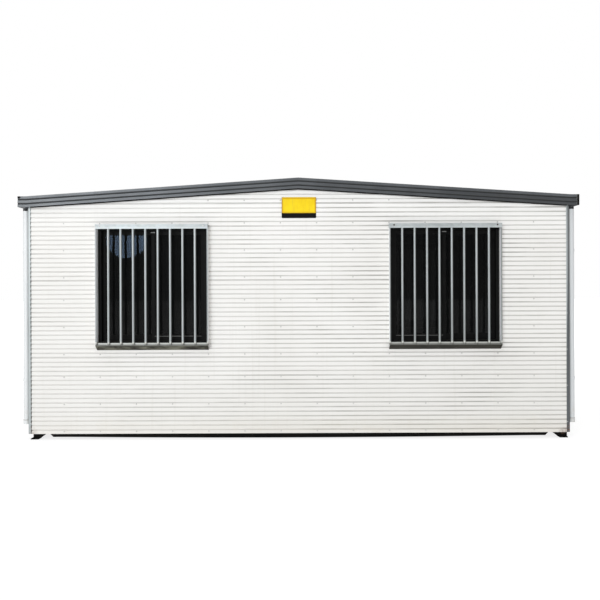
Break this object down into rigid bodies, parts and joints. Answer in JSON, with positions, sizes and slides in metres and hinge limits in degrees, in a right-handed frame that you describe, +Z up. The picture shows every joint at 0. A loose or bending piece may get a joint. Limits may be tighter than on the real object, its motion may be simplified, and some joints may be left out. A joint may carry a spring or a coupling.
{
  "type": "portable site cabin",
  "caption": "Portable site cabin clad in horizontal ribbed sheet, with a low gable roof, barred windows, end gutters with downpipes and a black steel base on corner feet.",
  "frame": {"origin": "on the ground under the middle of the cabin", "axes": "+X along the cabin, to the right as seen from the front; -Y out of the front with the barred window pair; +Z up"},
  "size_m": [6.175, 3.13, 2.8838],
  "materials": {
    "base_black": "matte black paint, dusty",
    "deck_timber": "flooring board",
    "lining": "plain board",
    "cladding_white": "satin off-white coating",
    "trim_grey": "light grey coating",
    "roof_grey": "satin dark grey coating",
    "pipe_white": "white pipe plastic",
    "window_dark": "dark powder-coated aluminium",
    "glass": "clear",
    "grille_zinc": "pale grey galvanised steel",
    "door_white": "satin off-white coating",
    "door_steel": "satin"
  },
  "bodies": {
    "root": {"front_bearer": "base_black", "rear_bearer": "base_black", "left_end_bearer": "base_black", "right_end_bearer": "base_black", "floor_joists": "base_black", "corner_feet": "base_black", "floor_deck": "deck_timber", "front_wall": "lining", "rear_wall": "lining", "left_end_wall": "lining", "right_end_wall": "lining", "front_cladding": "cladding_white", "rear_cladding": "cladding_white", "left_end_cladding": "cladding_white", "right_end_cladding": "cladding_white", "front_left_corner_trim": "trim_grey", "front_right_corner_trim": "trim_grey", "rear_left_corner_trim": "trim_grey", "rear_right_corner_trim": "trim_grey", "left_roof_panel": "lining", "right_roof_panel": "lining", "left_roof_sheet": "roof_grey", "right_roof_sheet": "roof_grey", "ridge_cap": "roof_grey", "front_barge": "roof_grey", "rear_barge": "roof_grey", "left_gutter": "roof_grey", "right_gutter": "roof_grey", "left_downpipe": "pipe_white", "right_downpipe": "pipe_white", "front_left_window_frame": "window_dark", "front_left_window_sashes": "window_dark", "front_left_window_glass": "glass", "front_left_grille": "grille_zinc", "front_right_window_frame": "window_dark", "front_right_window_sashes": "window_dark", "front_right_window_glass": "glass", "front_right_grille": "grille_zinc", "rear_window_frame": "window_dark", "rear_window_sashes": "window_dark", "rear_window_glass": "glass", "rear_grille": "grille_zinc", "door_frame": "door_white", "door_leaf": "door_white", "door_fittings": "door_steel"}
  },
  "joints": []
}
